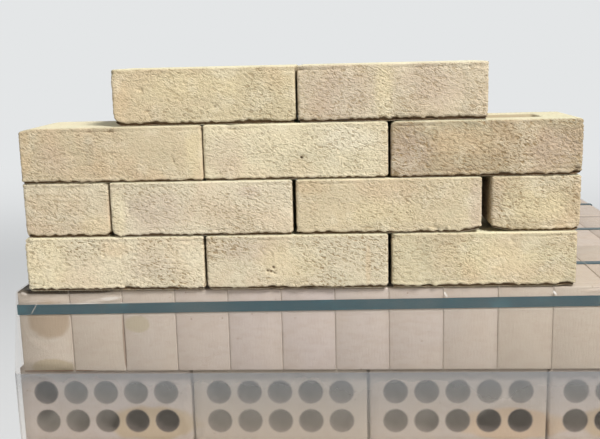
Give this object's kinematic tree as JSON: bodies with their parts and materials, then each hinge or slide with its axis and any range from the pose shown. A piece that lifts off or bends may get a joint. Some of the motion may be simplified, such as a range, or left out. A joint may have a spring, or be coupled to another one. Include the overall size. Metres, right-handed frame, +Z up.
{
  "type": "pallet of bricks",
  "caption": "Strapped, film-hooded pack of perforated facing bricks on a wooden pallet, with a small dry-laid panel of loose bricks standing on top.",
  "frame": {"origin": "on the ground under the middle of the pallet", "axes": "+X to the right along the front that carries the sample panel, +Y to the back, +Z up"},
  "size_m": [0.9204, 0.913, 1.4209],
  "materials": {
    "packed_brick": "dry fired clay, lightly creased, buff",
    "panel_brick": "rustic creased fired clay, buff yellow with pink and grey patches",
    "strap": "dark blue-green polyester strapping, faint rolled texture",
    "film": "clear stretch film, slightly milky, creased",
    "pallet_wood": "rough sawn softwood"
  },
  "bodies": {
    "root": {"pack_layer_01": "packed_brick", "pack_layer_02": "packed_brick", "pack_layer_03": "packed_brick", "pack_layer_04": "packed_brick", "pack_layer_05": "packed_brick", "pack_layer_06": "packed_brick", "pack_layer_07": "packed_brick", "pack_layer_08": "packed_brick", "pack_layer_09": "packed_brick", "pack_layer_10": "packed_brick", "course_1_left": "panel_brick", "course_1_middle": "panel_brick", "course_1_right": "panel_brick", "course_2_left_header": "panel_brick", "course_2_left": "panel_brick", "course_2_right": "panel_brick", "course_2_right_header": "panel_brick", "course_3_left": "panel_brick", "course_3_middle": "panel_brick", "course_3_right": "panel_brick", "course_4_left": "panel_brick", "course_4_right": "panel_brick", "strap_round_top_layer": "strap", "blade_strap_1": "strap", "blade_strap_2": "strap", "blade_strap_3": "strap", "blade_strap_4": "strap", "film_hood": "film", "deck_board_1": "pallet_wood", "deck_board_2": "pallet_wood", "deck_board_3": "pallet_wood", "deck_board_4": "pallet_wood", "deck_board_5": "pallet_wood", "deck_board_6": "pallet_wood", "deck_board_7": "pallet_wood", "stringer_board_1": "pallet_wood", "stringer_board_2": "pallet_wood", "stringer_board_3": "pallet_wood", "block_1": "pallet_wood", "block_2": "pallet_wood", "block_3": "pallet_wood", "block_4": "pallet_wood", "block_5": "pallet_wood", "block_6": "pallet_wood", "block_7": "pallet_wood", "block_8": "pallet_wood", "block_9": "pallet_wood", "bottom_board_1": "pallet_wood", "bottom_board_2": "pallet_wood", "bottom_board_3": "pallet_wood"}
  },
  "joints": []
}
